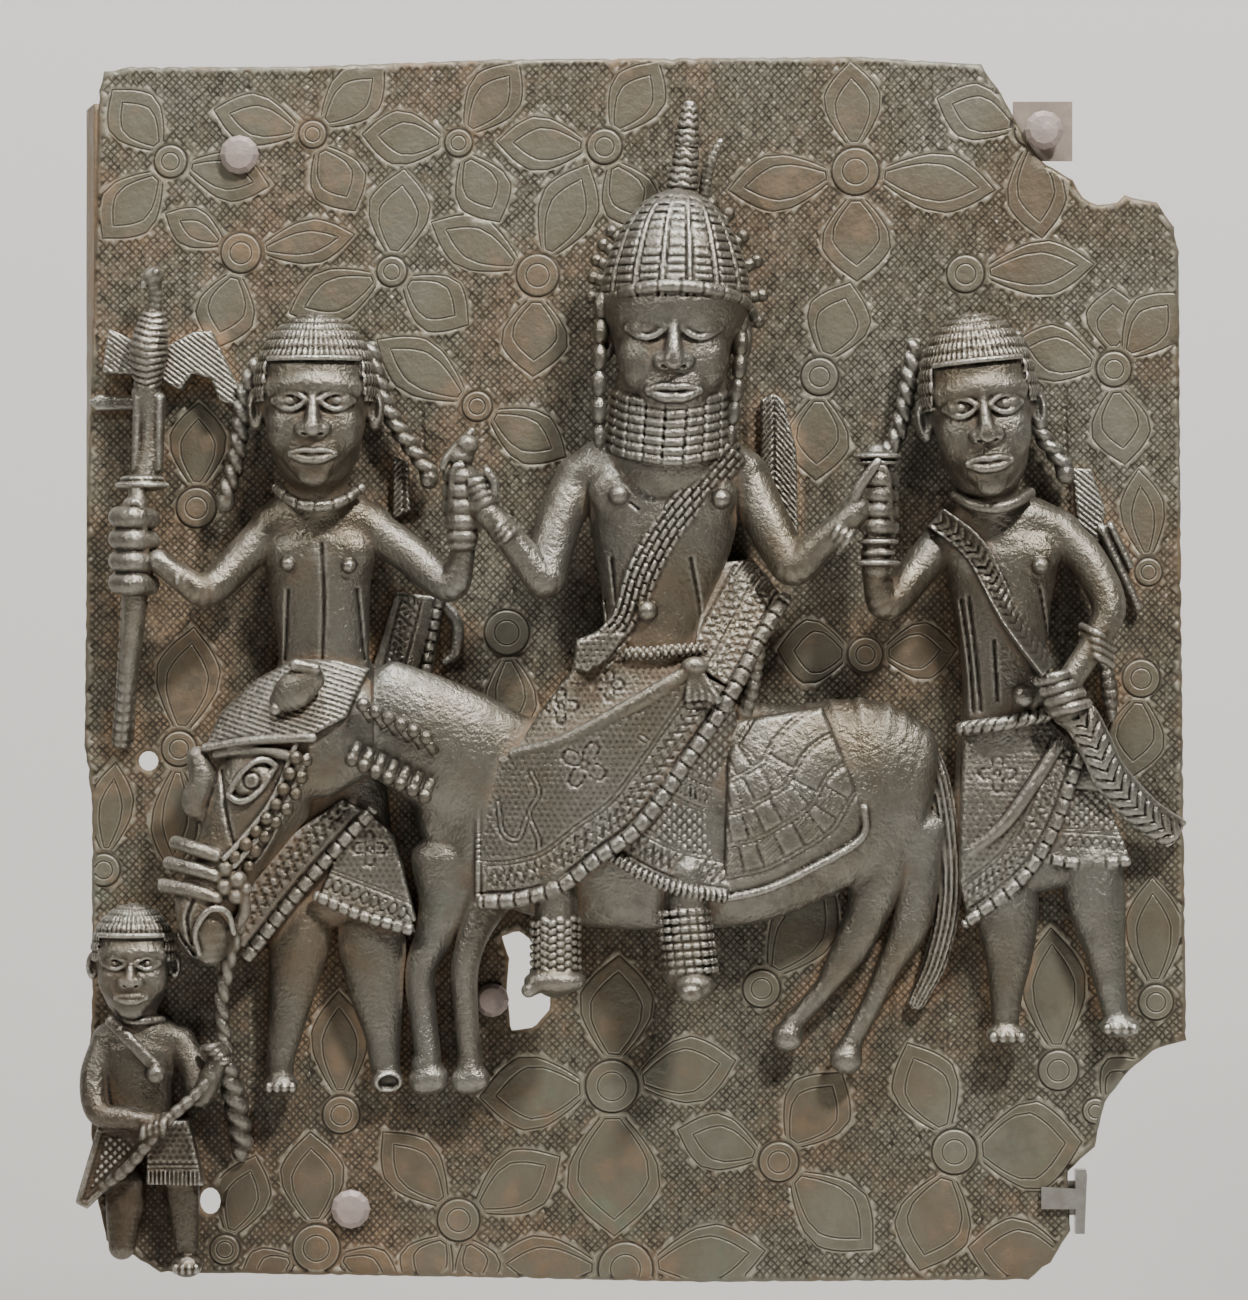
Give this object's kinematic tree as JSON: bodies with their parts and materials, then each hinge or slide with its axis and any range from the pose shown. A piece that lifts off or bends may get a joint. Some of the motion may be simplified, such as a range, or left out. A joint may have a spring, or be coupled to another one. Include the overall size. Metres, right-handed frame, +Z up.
{
  "type": "cast brass relief plaque",
  "caption": "Cast-brass court relief plaque of a crowned rider on a horse with attendants and a page, on a flowered plate with side flanges",
  "frame": {"origin": "on the plate's flat back, at the middle of its width and height", "axes": "+Z up, +X to the viewer's right, the relief faces -Y"},
  "size_m": [0.449, 0.0902, 0.496],
  "materials": {
    "cast_brass": "aged, dull brown-green patina with worn highlights and red-brown earth in the hollows",
    "fixing_pin": "pale pinkish-grey coated metal, satin",
    "backing_pad": "matte taupe",
    "clip_metal": "bright bent metal, satin"
  },
  "bodies": {
    "root": {"plaque": "cast_brass", "pin_upper_left": "fixing_pin", "pin_upper_right": "fixing_pin", "pin_middle": "fixing_pin", "pin_lower_left": "fixing_pin", "backing_square": "backing_pad", "edge_clip": "clip_metal"}
  },
  "joints": []
}
